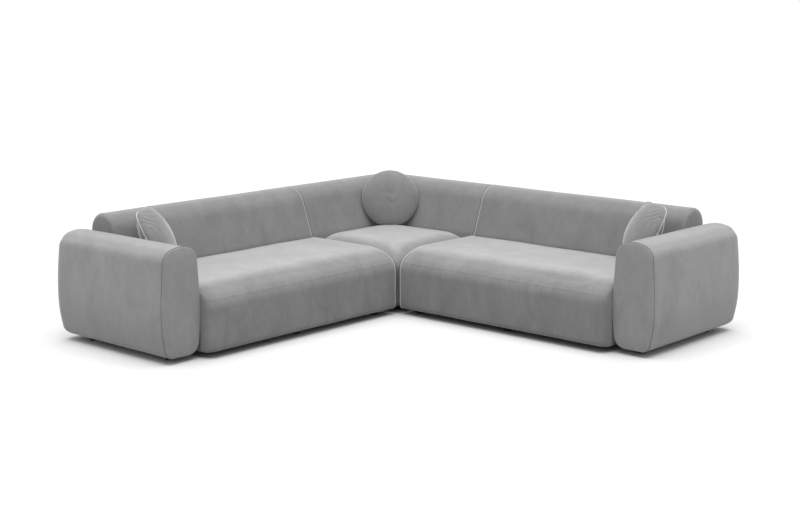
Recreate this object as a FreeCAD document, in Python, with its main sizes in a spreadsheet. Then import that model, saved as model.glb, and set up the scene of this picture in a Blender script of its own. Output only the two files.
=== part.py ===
import FreeCAD, Part
import math
import os
import re
import Sketcher

# Corner sofa in plain velvet, made as three upholstered modules: a square corner and two
# alike wings, each with one arm. Steel hooks join the wings to the corner. Two square
# scatter cushions and a round one lie loose on the seats.
# Frame: +Z up, origin on the floor under the middle of the square that the sofa fills.
# The corner of the sofa is at -X +Y. The right wing runs along +X with its back at +Y,
# and the left wing is its mirror image across the vertical plane x = -y.

Vector = FreeCAD.Vector
doc = FreeCAD.newDocument("CornerSofa")
sheet = doc.addObject("Spreadsheet::Sheet", "Sizes")

SIZES = [
    ("overall_length", 2913, "each wing, from the back plane of the other wing to the arm's outer face"),
    ("floor_gap", 35, "height of the underside above the floor"),
    ("cover", 3, "cloth with its wadding"),
    ("ease", 1, "room left round what sits inside a cover or a foam"),
    ("corner_length", 1062, "corner seat, from the back plane"),
    ("corner_back_length", 1076, "corner back, from the other back plane"),
    ("wing_start", 1082, "inner end of a wing, from the back plane of the other wing"),
    ("seat_front", 1063, "front of a wing seat, from its back plane"),
    ("seat_edge", 418, "height of the seat where its front roll ends"),
    ("seat_crown", 12, "rise of a wing seat's middle over its edge"),
    ("corner_crown", 18, "rise of the corner seat's middle over its edge"),
    ("crown_run", 240, "distance over which a crown rises"),
    ("nose_radius", 106, "tight part of the front roll"),
    ("roll_radius", 389, "flat part of the front roll"),
    ("nose_turn", 62.5, "degrees turned by the tight part"),
    ("hem_radius", 35, "rounding of every lower edge"),
    ("seat_corner_radius", 65, "rounding in plan of a seat's free front corner"),
    ("seam_radius", 8, "rounding in plan of a corner that is sewn"),
    ("back_height", 740, "top of the backs"),
    ("back_depth", 316, "back thickness at seat level"),
    ("back_crest", 202, "back thickness that its front slope would have at the top"),
    ("crest_rear_radius", 105, "rear rounding of a back's top"),
    ("crest_front_radius", 139, "front rounding of a back's top"),
    ("crest_flat", 2, "what the crest's arcs lack of meeting"),
    ("corner_radius", 90, "rounding in plan of the sofa's outer back corner"),
    ("inner_corner_radius", 60, "rounding in plan where the two backs meet in front"),
    ("back_end_roll", 30, "how far a back's top draws in at its arm"),
    ("arm_thickness", 272, "arm, across its widest point"),
    ("arm_gap", 2, "gap between an arm and the seat and back beside it"),
    ("arm_height", 650, "top of the arms"),
    ("arm_front", 985, "front of the arm, from the back plane"),
    ("arm_back", 6, "back of the arm, from the back plane"),
    ("arm_front_edge", 40, "depth of the rounding behind the arm's front panel"),
    ("arm_front_inset", 16, "how far the front panel's outline lies inside the arm's"),
    ("arm_back_edge", 95, "depth of the rounding at the arm's back end"),
    ("arm_back_inset", 75, "how far the arm's outline draws in at its back end"),
    ("board", 25, "thickness of the frame's timber"),
    ("panel", 18, "thickness of the arm frame's plywood"),
    ("rail_top", 190, "top of the base frames"),
    ("front_foam", 45, "foam in front of the base frame"),
    ("spring_room", 14, "height kept for the springs over the base frame"),
    ("spring_wire", 3.8, "diameter of the spring wire"),
    ("spring_width", 60, "width of a zigzag spring"),
    ("spring_pitch", 50, "length of one zigzag step, there and back"),
    ("spring_spacing", 190, "distance between springs"),
    ("spring_end", 5, "how far a spring's ends stay inside the outer edges of their rails"),
    ("post", 60, "width of the back frame's posts and rails"),
    ("back_frame_top", 650, "top of the back frames"),
    ("webbing", 2.5, "thickness of the elastic webbing"),
    ("webbing_width", 70, "width of one webbing band"),
    ("webbing_spacing", 210, "distance between webbing bands"),
    ("arm_frame_top", 560, "top of the arm frames"),
    ("arm_frame_bottom", 58, "underside of the arm frames"),
    ("arm_frame_inset", 30, "arm frame, from the widest point of the arm's inner face"),
    ("arm_foam", 42, "foam over the arm frame's outer side and front"),
    ("arm_back_foam", 90, "foam behind the arm frame"),
    ("underside", 2, "thickness of the cloth under a module"),
    ("foot_radius", 25, "radius of a foot at the floor"),
    ("foot_top_radius", 29, "radius of a foot at the top"),
    ("foot_recess", 14, "depth of the recess for a foot's screw head"),
    ("screw_play", 0.5, "room round a screw in a foot"),
    ("block", 100, "side of the corner blocks that the feet are screwed to"),
    ("block_height", 40, "height of the corner blocks"),
    ("screw_radius", 2.5, "shaft of a foot's screw"),
    ("screw_length", 60, "shaft of a foot's screw"),
    ("bolt_radius", 4, "shaft of a frame bolt"),
    ("bolt_head", 7.5, "radius of a bolt's hexagon head, over its corners"),
    ("bolt_head_height", 5.5, "height of a bolt's head and of its nut"),
    ("piping", 4.5, "diameter of the piping"),
    ("back_bays", 5, "bays between the uprights of a wing's back frame"),
    ("corner_bays", 3, "bays between the uprights of each leg of the corner's back frame"),
    ("base_bays", 2, "bays along the base frame of a wing"),
    ("hook_width", 60, "width of a module hook"),
    ("catch_width", 70, "width of a module catch"),
    ("steel", 3, "thickness of the hooks' and catches' steel"),
    ("plate_reach", 60, "how far a hook's or catch's plate reaches in under its frame's edge"),
    ("tongue", 20, "how far a hook's tongue reaches down from its plate"),
    ("tongue_play", 4, "room in front of and behind the tongue in its catch"),
    ("catch_lip", 12, "height of a catch's lip over its floor"),
    ("hook_depth", 420, "first hook, from the back plane"),
    ("hook_spacing", 400, "distance between the two hooks of a wing"),
    ("cushion_side", 384, "square cushion, from corner to corner along a side"),
    ("cushion_thickness", 156, "square cushion in its middle"),
    ("cushion_draw", 14, "how far its sides draw in between its corners"),
    ("round_cushion", 392, "diameter of the round cushion"),
    ("round_thickness", 120, "round cushion in its middle"),
    ("round_flat", 31, "half the angle of the round cushion's flattened foot, in degrees"),
    ("cushion_cloth", 2, "thickness of a cushion's cover"),
    ("cushion_rest", 1, "room between a cushion and the seat under it"),
    ("cushion_along", 2473, "square cushion's middle, along its wing"),
    ("cushion_depth", 413, "square cushion's middle, from its wing's back plane"),
    ("cushion_turn", 35.5, "degrees that a square cushion is turned towards the corner"),
    ("cushion_lean", 25, "degrees that a square cushion leans back"),
    ("round_place", 400, "round cushion's middle, from both back planes"),
    ("round_lean", 14, "degrees that the round cushion leans back"),
]
for row, (alias, value, note) in enumerate(SIZES, start=1):
    sheet.set("A%d" % row, alias)
    sheet.set("B%d" % row, str(value))
    sheet.set("C%d" % row, note)
    sheet.setAlias("B%d" % row, alias)
doc.recompute()

nodes = []


def size(alias):
    """The sheet's value of one size, in millimetres."""
    return float(sheet.get(alias))


def bind(item, expressions):
    """Tie properties of an object to the sheet."""
    for path, text in expressions.items():
        item.setExpression(path, text)


def sheet_text(formula):
    """Write a formula in plain size names as one that reads the sheet."""
    return re.sub(r"[a-z][a-z_]*", r"Sizes.\g<0>", formula)


def value_of(formula):
    """What a formula in plain size names gives now."""
    return float(sheet.evalExpression(formula))


def keep(item, label):
    """Make an object one of the sofa's pieces, moved as it stands to the back corner of the sofa."""
    item.Label = label + "_as_made"
    node = doc.addObject("Part::Compound", "node_" + label)
    node.Links = [item]
    node.Label = label
    bind(node, {"Placement.Base.x": "-Sizes.overall_length / 2",
                "Placement.Base.y": "Sizes.overall_length / 2"})
    nodes.append(node)
    return node


def mirror_of(item, name):
    """The same thing on the other side of the sofa's diagonal."""
    twin = doc.addObject("Part::Mirroring", name)
    twin.Source = item
    twin.Normal = Vector(1, 1, 0)
    return twin


def mirrored(item, label):
    """The same piece on the left wing."""
    twin = mirror_of(item, "mirror_" + label)
    twin.Label = label
    nodes.append(twin)
    return twin


# Lengths along a wing are counted from the sofa's outer back corner, and depths from the
# wing's own back plane. A wing's pieces are drawn with x along it and y = -depth.


def box(name, along, depth, height):
    """A box between two formulas for each of its three directions."""
    item = doc.addObject("Part::Box", name)
    low_x, high_x = (sheet_text(text) for text in along)
    near, far = (sheet_text(text) for text in depth)
    low_z, high_z = (sheet_text(text) for text in height)
    bind(item, {
        "Length": "(%s) - (%s)" % (high_x, low_x),
        "Width": "(%s) - (%s)" % (far, near),
        "Height": "(%s) - (%s)" % (high_z, low_z),
        "Placement.Base.x": low_x,
        "Placement.Base.y": "-(%s)" % far,
        "Placement.Base.z": low_z,
    })
    return item


def group(kind, name, members):
    """A fuse or a compound of several objects."""
    item = doc.addObject(kind, name)
    if kind == "Part::Compound":
        item.Links = members
    else:
        item.Shapes = members
    return item


def cut(name, base, tools):
    """An object less several others."""
    for number, tool in enumerate(tools):
        item = doc.addObject("Part::Cut", "%s_%d" % (name, number))
        item.Base = base
        item.Tool = tool
        base = item
    return base


def feature(name, shape):
    """An object with a shape from a formula."""
    item = doc.addObject("Part::Feature", name)
    item.Shape = shape
    return item


# Outlines and the solids stacked from them


def rounded_wire(corners, radii, closed=True):
    """A wire through the corners, each turned by a tangent arc that its sides have room for.
    An open wire starts and ends at its first and last corners."""
    count = len(corners)
    sides = [corners[(i + 1) % count] - corners[i] for i in range(count)]
    reaches = []
    halves = []
    for i in range(count):
        half = (sides[i - 1] * -1).getAngle(sides[i]) / 2
        halves.append(half)
        inside = closed or 0 < i < count - 1
        reaches.append(radii[i] / math.tan(half) if inside else 0)
    rooms = [0.98 * sides[i].Length / max(reaches[i] + reaches[(i + 1) % count], 0.001) for i in range(count)]
    reaches = [reaches[i] * min(1, rooms[i], rooms[i - 1]) for i in range(count)]
    edges = []
    last = None
    first = None
    for i in range(count):
        start = end = corners[i]
        if reaches[i]:
            back = (corners[i - 1] - corners[i]).normalize()
            onward = Vector(sides[i]).normalize()
            start = corners[i] + back * reaches[i]
            end = corners[i] + onward * reaches[i]
            radius = reaches[i] * math.tan(halves[i])
            middle = corners[i] + (back + onward).normalize() * (radius / math.sin(halves[i]) - radius)
        if last:
            edges.append(Part.LineSegment(last, start).toShape())
        if reaches[i]:
            edges.append(Part.Arc(start, middle, end).toShape())
        last = end
        first = first or start
    if closed:
        edges.append(Part.LineSegment(last, first).toShape())
    return Part.Wire(edges)


def tube(path, diameter):
    """A round tube along a wire."""
    edge = path.OrderedEdges[0]
    start = edge.valueAt(edge.FirstParameter)
    circle = Part.Circle(start, edge.tangentAt(edge.FirstParameter), diameter / 2)
    return path.makePipeShell([Part.Wire(circle.toShape())], True, False)


def stack(bands, ruled=True):
    """One solid from bands of outlines, each band a loft that starts where the last one ends. A ruled
    loft runs straight from one outline to the next."""
    faces = [Part.Face(bands[0][0]), Part.Face(bands[-1][-1])]
    for wires in bands:
        faces += Part.makeLoft(wires, False, ruled or len(wires) == 2).Faces
    skin = Part.makeCompound(faces)
    skin.sewShape()
    solid = Part.makeSolid(skin.Shells[0])
    return solid if solid.Volume > 0 else solid.reversed()


def hollow(outer, inner):
    """A closed wall between an outer solid and an inner one."""
    return Part.makeSolid(Part.makeCompound([outer.Shells[0], inner.Shells[0].reversed()]))


def fall(rise, radius):
    """How far a round edge has drawn in at some rise over its start."""
    rise = min(rise, radius)
    return radius - math.sqrt(radius * radius - rise * rise)


def hem_levels(skin):
    """Height and draw-in of the rounded lower edge, from the bottom up."""
    radius = size("hem_radius")
    bottom = size("floor_gap") + skin
    levels = []
    for degrees in (75, 50, 25, 0):
        turn = math.radians(degrees)
        height = max(bottom, size("floor_gap") + radius * (1 - math.sin(turn)) + skin)
        levels.append((height, radius * (1 - math.cos(turn)) + skin))
    levels[0] = (bottom, levels[0][1])
    return levels


def seat_roll(skin):
    """Height and draw-in of a seat's front roll, from where it starts up to the seat's edge."""
    turn = math.radians(size("nose_turn"))
    nose = size("nose_radius")
    roll = size("roll_radius")
    start = size("seat_edge") - roll * (1 - math.sin(turn)) - nose * math.sin(turn)
    centre = nose * (1 - math.cos(turn)) + roll * math.cos(turn)
    levels = []
    for degrees in (0, 16, 32, 47, size("nose_turn"), 69, 76, 83, 90):
        angle = math.radians(degrees)
        if angle <= turn:
            height = start + (nose - skin) * math.sin(angle)
            draw = nose - (nose - skin) * math.cos(angle)
        else:
            height = size("seat_edge") - roll + (roll - skin) * math.sin(angle)
            draw = centre - (roll - skin) * math.cos(angle)
        levels.append((height, draw))
    return levels


def crown_levels(skin, rise):
    """Height and draw-in of the crown over a seat's edge."""
    edge = size("seat_edge") - skin
    run = size("crown_run")
    return [(edge + rise * math.sin(math.radians(turn)), run * (1 - math.cos(math.radians(turn))))
            for turn in (0, 20, 40, 60, 80)]


def plan_wire(height, low_x, high_x, near, far, radii):
    """A rounded rectangle at one height. Radii run round from the low x, near corner."""
    corners = [Vector(low_x, -near, height), Vector(high_x, -near, height),
               Vector(high_x, -far, height), Vector(low_x, -far, height)]
    return rounded_wire(corners, radii)


def wing_seat(skin):
    """Crowned seat with its front rolled over, flat at the inner end and rounded beside the arm."""
    low = size("wing_start") + skin
    high = size("overall_length") - size("arm_thickness") - size("arm_gap") - skin
    near = size("back_depth") + size("arm_gap") + skin
    far = size("seat_front")
    corner = size("seat_corner_radius")
    small = size("seam_radius")

    def outline(height, draw, ends):
        swell = corner + draw / 2
        return plan_wire(height, low + ends, high - ends - draw / 10, near + ends, far - draw,
                         [small, small, swell, small])

    hem = [outline(height, draw, 0) for height, draw in hem_levels(skin)]
    roll = [outline(height, draw, 0) for height, draw in seat_roll(skin)]
    top_draw = seat_roll(skin)[-1][1]
    crown = [outline(height, top_draw + draw, draw)
             for height, draw in crown_levels(skin, size("seat_crown"))]
    return stack([hem, [hem[-1], roll[0]], roll, crown])


def corner_seat(skin):
    """Crowned square seat, rolled over on the two sides that face the wings."""
    near = size("back_depth") + size("arm_gap") + skin
    far = size("corner_length")
    corner = size("seat_corner_radius")
    inner = size("inner_corner_radius") - size("arm_gap") - skin
    small = size("seam_radius")

    def outline(height, draw, ends):
        return plan_wire(height, near + ends, far - draw, near + ends, far - draw,
                         [inner, small, corner + draw / 2, small])

    hem = [outline(height, draw, 0) for height, draw in hem_levels(skin)]
    roll = [outline(height, draw, 0) for height, draw in seat_roll(skin)]
    top_draw = seat_roll(skin)[-1][1]
    crown = [outline(height, top_draw + draw, draw)
             for height, draw in crown_levels(skin, size("corner_crown"))]
    return stack([hem, [hem[-1], roll[0]], roll, crown])


def back_levels(skin):
    """Height, rear draw-in and front depth of a back, as three bands from the bottom up."""
    top = size("back_height") + size("crest_flat") - skin
    rear = size("crest_rear_radius") - skin
    front = size("crest_front_radius") - skin
    seat = size("seat_edge")
    depth = size("back_depth")
    crest = size("back_crest")
    slope = (depth - crest) / (size("back_height") - seat)
    lean = math.atan(slope)
    skin_side = skin / math.cos(lean)

    def front_line(height):
        return depth - slope * max(0, height - seat) - (skin_side if height > seat else skin)

    reach = front * math.tan((math.pi / 2 - lean) / 2)
    centre_depth = front_line(top) - reach
    touch = top - front + front * math.sin(lean)
    lower = [(height, draw, depth - draw) for height, draw in hem_levels(skin)]
    middle = [(lower[-1][0], skin, depth - skin), (seat, skin, depth - skin)]
    turn = min(touch, top - rear)
    slope_band = [(seat, skin, depth - skin), (turn, skin, front_line(turn))]
    crown = []
    start = slope_band[-1][0]
    for part in (0, 0.35, 0.6, 0.78, 0.91, 1):
        height = start + (size("back_height") - skin - start) * part
        rear_draw = skin + fall(max(0, height - (top - rear)), rear)
        if height <= touch:
            front_depth = front_line(height)
        else:
            front_depth = centre_depth + math.sqrt(front ** 2 - (height - (top - front)) ** 2)
        crown.append((height, rear_draw, front_depth))
    return [lower, middle, slope_band, crown]


def wing_back(skin):
    """Back of a wing: upright behind, leaning in front, and rounded over at the arm's end."""
    low = size("wing_start") + skin
    high = size("overall_length") - size("arm_thickness") - size("arm_gap") - skin
    small = size("seam_radius")

    def outline(height, near, far):
        rise = max(0, height - (size("back_height") - size("crest_rear_radius")))
        draw = size("back_end_roll") * (rise / size("crest_rear_radius")) ** 2
        return plan_wire(height, low, high - draw, near, far, [small, small + draw, small + draw, small])

    return stack([[outline(*level) for level in band] for band in back_levels(skin)], False)


def corner_back(skin):
    """L-shaped back of the corner module."""
    end = size("corner_back_length") - skin
    outer = size("corner_radius")
    inner = size("inner_corner_radius")
    small = size("seam_radius")

    def outline(height, near, far):
        points = [(near, near), (end, near), (end, far), (far, far), (far, end), (near, end)]
        radii = [outer, small, small, inner, small, small]
        return rounded_wire([Vector(x, -y, height) for x, y in points], radii)

    return stack([[outline(*level) for level in band] for band in back_levels(skin)], False)


def arm_outline(depth, inset, skin):
    """Barrel-sided outline of the arm, seen from the front, drawn in all round by an inset."""
    thick = size("arm_thickness")
    top = size("arm_height")
    low = size("floor_gap")
    draw = inset + skin
    middle = thick / 2
    points = [(12, low, 55), (0, 180, 600), (0, 330, 1500), (14, top - 20, 80), (middle + 14, top, 400),
              (thick - 14, top - 26, 62), (thick, 330, 1500), (thick, 230, 600), (thick - 8, low, 55)]
    corners = []
    radii = []
    for across, height, radius in points:
        share = (height - low) / (top - low) * 2 - 1
        side = draw if across < middle / 2 else (-draw if across > middle * 1.5 else 0)
        corners.append(Vector(size("overall_length") - across - side, -depth, height - draw * share))
        radii.append(max(20, radius - draw / 2))
    return rounded_wire(corners, radii)


def arm(skin):
    """Arm with a softly edged front panel and a rounded back end."""
    front = size("arm_front") - skin
    back = size("arm_back") + skin
    turns = [math.radians(degrees) for degrees in (0, 18, 36, 54, 72, 90)]
    rear = [arm_outline(back + size("arm_back_edge") * (1 - math.cos(turn)),
                        size("arm_back_inset") * (1 - math.sin(turn)), skin) for turn in turns]
    nose = [arm_outline(front - size("arm_front_edge") * (1 - math.cos(turn)),
                        size("arm_front_inset") * (1 - math.sin(turn)), skin) for turn in reversed(turns)]
    return stack([rear, [rear[-1], nose[0]], nose])


# Upholstery: each unit is a foam under a cover, with room under it for its frame


def upholstered(name, form, rooms):
    """The foam and the cover of one unit, both cut free of the rooms kept for its frame."""
    wall = feature(name + "_wall", hollow(form(0), form(size("cover"))))
    padding = feature(name + "_padding", form(size("cover") + size("ease") / 2))
    return cut(name + "_foam", padding, rooms), cut(name + "_cover", wall, rooms)


wing_end = "overall_length - arm_thickness - arm_gap"
base_low = "wing_start + cover + ease"
base_high = wing_end + " - cover - ease"
base_near = "cover + ease"
base_far = "seat_front - front_foam"
base_bottom = "floor_gap + underside"
frame_back = "cover + ease + board"
frame_front = frame_back + " + webbing"

wing_base_room = box("wing_base_room", (base_low + " - ease", base_high + " + ease"),
                     (base_near + " - ease", base_far + " + ease"), ("0", "rail_top + spring_room"))
wing_back_room = box("wing_back_room", (base_low + " - ease", base_high + " + ease"),
                     (base_near + " - ease", frame_front + " + ease"), ("0", "back_frame_top + ease"))
arm_low = wing_end + " + arm_gap + arm_frame_inset"
arm_high = "overall_length - arm_foam"
arm_near = "arm_back + arm_back_foam"
arm_far = "arm_front - arm_foam"
arm_bottom = "arm_frame_bottom"
arm_room = box("arm_room", (arm_low + " - ease", arm_high + " + ease"),
               (arm_near + " - ease", arm_far + " + ease"), (arm_bottom + " - ease", "arm_frame_top + ease"))

seat_foam, seat_cover = upholstered("wing_seat", wing_seat, [wing_base_room])
back_foam, back_cover = upholstered("wing_back", wing_back, [wing_base_room, wing_back_room])
arm_foam, arm_cover = upholstered("arm", arm, [arm_room])

corner_low = "cover + ease"
corner_high = "corner_length - front_foam"
corner_flush = "corner_length - cover - ease"
leg_end = "corner_back_length - cover - ease"
corner_base_room = box("corner_base_room", (corner_low + " - ease", corner_high + " + ease"),
                       (corner_low + " - ease", corner_high + " + ease"), ("0", "rail_top + spring_room"))
leg_rooms = [
    box("corner_room_x", (corner_low + " - ease", leg_end + " + ease"),
        (corner_low + " - ease", frame_front + " + ease"), ("0", "back_frame_top + ease")),
    box("corner_room_y", (corner_low + " - ease", frame_front + " + ease"),
        (corner_low + " - ease", leg_end + " + ease"), ("0", "back_frame_top + ease")),
]
corner_seat_foam, corner_seat_cover = upholstered("corner_seat", corner_seat, [corner_base_room])
corner_back_foam, corner_back_cover = upholstered("corner_back", corner_back, [corner_base_room] + leg_rooms)


# Frames, made as pads with windows cut through them


def outline_sketch(body, name, role, rings):
    """A sketch of closed rings, every corner of which is held to the sheet by two formulas."""
    sketch = body.newObject("Sketcher::SketchObject", name)
    plane = [item for item in body.Origin.OriginFeatures if item.Role == role][0]
    sketch.AttachmentSupport = [(plane, "")]
    sketch.MapMode = "FlatFace"
    for ring in rings:
        first = sketch.GeometryCount
        count = len(ring)
        points = [Vector(value_of(across), value_of(up), 0) for across, up in ring]
        for i in range(count):
            sketch.addGeometry(Part.LineSegment(points[i], points[(i + 1) % count]), False)
        for i in range(count):
            sketch.addConstraint(Sketcher.Constraint("Coincident", first + i, 2, first + (i + 1) % count, 1))
        for i in range(count):
            for kind, formula in zip(("DistanceX", "DistanceY"), ring[i]):
                held = Sketcher.Constraint(kind, -1, 1, first + i, 1, value_of(formula))
                index = sketch.addConstraint(held)
                sketch.setExpression("Constraints[%d]" % index, sheet_text(formula))
    return sketch


def ring(low_x, high_x, low_y, high_y):
    """A rectangle's four corners as formulas."""
    return [(low_x, low_y), (high_x, low_y), (high_x, high_y), (low_x, high_y)]


def padded_frame(name, role, outer, windows, thickness, place):
    """A board of one thickness with windows, as a pad and a pocket. The pad runs up from a plan,
    or back from an upright outline."""
    body = doc.addObject("PartDesign::Body", name)
    pad = body.newObject("PartDesign::Pad", name + "_pad")
    pad.Profile = outline_sketch(body, name + "_outline", role, [outer])
    bind(pad, {"Length": sheet_text(thickness)})
    doc.recompute()
    pocket = body.newObject("PartDesign::Pocket", name + "_windows")
    pocket.Profile = outline_sketch(body, name + "_window_outlines", role, windows)
    pocket.Type = "ThroughAll"
    doc.recompute()
    if pocket.Shape.Volume > pad.Shape.Volume * 0.999:
        pocket.Reversed = True
        doc.recompute()
    bind(body, {"Placement.Base." + axis: sheet_text(formula) for axis, formula in place.items()})
    return body


block_line = "(board + block / 2)"


def base_frame(name, low, high, near, far, cross_depth, spans, footed):
    """Base frame with a cross rail under the back's front, rails that part its windows, and glued
    blocks in the corners where feet are screwed on."""
    rear_window = ("-(%s)" % cross_depth, "-(%s) - board" % near)
    front_window = ("-(%s) + board" % far, "-(%s) - board" % cross_depth)
    windows = []
    for number in range(spans):
        step = "((%s) - (%s) - board) / %d" % (high, low, spans)
        start = "(%s) + board + %d * %s" % (low, number, step)
        end = "(%s) + %d * %s" % (low, number + 1, step)
        for lower, upper in (rear_window, front_window):
            windows.append(ring(start, end, lower, upper))
    outer = ring(low, high, "-(%s)" % far, "-(%s)" % near)
    rails = padded_frame(name + "_rails", "XY_Plane", outer, windows, "rail_top - (%s)" % base_bottom,
                         {"z": base_bottom})
    blocks = []
    for middle_x, middle_y in footed:
        blocks.append(box(name + "_block", (middle_x + " - block / 2", middle_x + " + block / 2"),
                          (middle_y + " - block / 2", middle_y + " + block / 2"),
                          (base_bottom, base_bottom + " + block_height")))
    return group("Part::MultiFuse", name, [rails] + blocks)


def back_frame(name, low, high, spans):
    """Upright ladder frame on the base frame's rear rail."""
    windows = []
    for number in range(spans):
        step = "((%s) - (%s) - post) / %d" % (high, low, spans)
        start = "(%s) + post + %d * %s" % (low, number, step)
        end = "(%s) + %d * %s" % (low, number + 1, step)
        windows.append(ring(start, end, "rail_top + post", "back_frame_top - post"))
    outer = ring(low, high, "rail_top", "back_frame_top")
    return padded_frame(name, "XZ_Plane", outer, windows, "board", {"y": "-(cover + ease)"})


cross_rail = "back_depth + arm_gap"
wing_corner_feet = [(base_low + " + " + block_line, base_near + " + " + block_line),
                    (base_low + " + " + block_line, base_far + " - " + block_line)]
corner_feet_lines = (corner_low + " + " + block_line, corner_high + " - " + block_line)
corner_feet_places = [(along, depth) for along in corner_feet_lines for depth in corner_feet_lines]
wing_base = base_frame("wing_base", base_low, base_high, base_near, base_far, cross_rail,
                       round(size("base_bays")), wing_corner_feet)
wing_back_frame = back_frame("wing_back_frame", base_low, base_high, round(size("back_bays")))
corner_base = base_frame("corner_base", corner_low, corner_high, corner_low, corner_high, cross_rail, 1,
                         corner_feet_places)
corner_leg = back_frame("corner_leg", corner_low, leg_end, round(size("corner_bays")))
corner_back_frame = group("Part::MultiFuse", "corner_back_frame", [
    corner_leg, mirror_of(corner_leg, "corner_leg_twin")])

arm_depths = (arm_near, arm_far)
arm_heights = (arm_bottom, "arm_frame_top")
arm_frame = group("Part::MultiFuse", "arm_frame", [
    box("arm_inner_panel", (arm_low, arm_low + " + panel"), arm_depths, arm_heights),
    box("arm_outer_panel", (arm_high + " - panel", arm_high), arm_depths, arm_heights),
    box("arm_top_board", (arm_low, arm_high), arm_depths, ("arm_frame_top - panel", "arm_frame_top")),
    box("arm_bottom_board", (arm_low, arm_high), arm_depths, (arm_bottom, arm_bottom + " + panel")),
    box("arm_front_board", (arm_low, arm_high), (arm_far + " - panel", arm_far), arm_heights),
    box("arm_rear_board", (arm_low, arm_high), (arm_near, arm_near + " + panel"), arm_heights),
])


# Springs under the seats and webbing in the backs


def quarter_arc(start, end, heading):
    """A quarter circle from one point to another, leaving the first along a heading."""
    step = end - start
    forward = heading * heading.dot(step)
    sideways = step - forward
    middle = start + forward * math.sqrt(0.5) + sideways * (1 - math.sqrt(0.5))
    return Part.Arc(start, middle, end).toShape()


def zigzag_spring(along, near, far):
    """One flat zigzag spring from the cross rail to the front rail, as a wire swept along its bends."""
    radius = size("spring_pitch") / 4
    half = size("spring_width") / 2 - radius
    level = size("rail_top") + size("spring_wire") / 2 + size("ease")
    rows = int((far - near - 2 * size("board")) / (2 * radius))
    depth = (near + far) / 2 - (rows - 1) * radius
    onward = Vector(0, -1, 0)
    side = 1
    start = Vector(along - half - radius, -near, level)
    point = Vector(along - half - radius, -depth + radius, level)
    edges = [Part.LineSegment(start, point).toShape()]
    edges.append(quarter_arc(point, Vector(along - half, -depth, level), onward))
    for number in range(rows):
        across = Vector(side, 0, 0)
        row_start = Vector(along - side * half, -depth - 2 * radius * number, level)
        row_end = row_start + across * 2 * half
        bend = row_end + across * radius + onward * radius
        edges.append(Part.LineSegment(row_start, row_end).toShape())
        edges.append(quarter_arc(row_end, bend, across))
        if number < rows - 1:
            edges.append(quarter_arc(bend, row_end + onward * 2 * radius, onward))
        side = -side
    edges.append(Part.LineSegment(bend, Vector(bend.x, -far, level)).toShape())
    circle = Part.Circle(start, onward, size("spring_wire") / 2)
    return Part.Wire(edges).makePipeShell([Part.Wire(circle.toShape())], True, False)


def spring_row(name, low, high, near, far):
    """Springs side by side at an even spacing."""
    count = max(2, round((high - low) / size("spring_spacing")))
    gap = (high - low) / count
    first = zigzag_spring(low + gap / 2, near, far)
    springs = []
    for number in range(count):
        spring = first.copy()
        spring.translate(Vector(gap * number, 0, 0))
        springs.append(spring)
    return feature(name, Part.makeCompound(springs))


spring_near = value_of(cross_rail + " + spring_end")
wing_springs = spring_row("wing_springs", value_of(base_low + " + board"), value_of(base_high + " - board"),
                          spring_near, value_of(base_far + " - spring_end"))
corner_springs = spring_row("corner_springs", value_of(cross_rail), value_of(corner_high + " - board"),
                            spring_near, value_of(corner_high + " - spring_end"))


def webbing_bands(name, low, high):
    """Upright elastic bands stretched over the front of a back frame."""
    count = max(2, round((high - low) / size("webbing_spacing")))
    gap = (high - low) / count
    bands = []
    for number in range(count):
        start = low + gap * (number + 0.5) - size("webbing_width") / 2
        level = size("rail_top") + size("spring_room") + 2 * size("ease")
        corner = Vector(start, -value_of(frame_front), level)
        height = size("back_frame_top") - corner.z
        bands.append(Part.makeBox(size("webbing_width"), size("webbing"), height, corner))
    return bands


wing_webbing = feature("wing_webbing", Part.makeCompound(
    webbing_bands("wing", value_of(base_low + " + post"), value_of(base_high + " - post"))))
leg_bands = webbing_bands("corner", value_of(frame_front + " + post"), value_of(leg_end + " - post"))
corner_webbing = feature("corner_webbing", Part.makeCompound(
    leg_bands + [band.mirror(Vector(0, 0, 0), Vector(1, 1, 0)) for band in leg_bands]))


# Feet, hooks and catches, the screws that hold them, and the cloth under each module


def screw_at(along, depth, base):
    """A screw driven up from a formula for its head's underside."""
    shaft = doc.addObject("Part::Cylinder", "screw_shaft")
    bind(shaft, {"Radius": "Sizes.screw_radius", "Height": "Sizes.screw_length"})
    head = doc.addObject("Part::Cylinder", "screw_head")
    bind(head, {"Radius": "Sizes.screw_radius * 2", "Height": "Sizes.screw_radius",
                "Placement.Base.z": "-Sizes.screw_radius"})
    screw = group("Part::MultiFuse", "screw", [shaft, head])
    bind(screw, {"Placement.Base.x": sheet_text(along), "Placement.Base.y": "-(%s)" % sheet_text(depth),
                 "Placement.Base.z": sheet_text(base)})
    return screw


def foot_at(along, depth):
    """A round moulded foot, bored and recessed for its screw."""
    cone = doc.addObject("Part::Cone", "foot_cone")
    bind(cone, {"Radius1": "Sizes.foot_radius", "Radius2": "Sizes.foot_top_radius",
                "Height": "Sizes.floor_gap"})
    bore = doc.addObject("Part::Cylinder", "foot_bore")
    bind(bore, {"Radius": "Sizes.screw_radius + Sizes.screw_play", "Height": "Sizes.floor_gap"})
    recess = doc.addObject("Part::Cylinder", "foot_recess")
    bind(recess, {"Radius": "Sizes.screw_radius * 3", "Height": "Sizes.foot_recess"})
    foot = cut("foot", cone, [bore, recess])
    bind(foot, {"Placement.Base.x": sheet_text(along), "Placement.Base.y": "-(%s)" % sheet_text(depth)})
    return foot


def bracket(name, points):
    """A bent steel strip, its side outline given as formulas and padded to both sides of its middle."""
    body = doc.addObject("PartDesign::Body", name)
    pad = body.newObject("PartDesign::Pad", name + "_pad")
    pad.Profile = outline_sketch(body, name + "_outline", "XZ_Plane", [points])
    pad.SideType = "Symmetric"
    return body, pad


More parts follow.
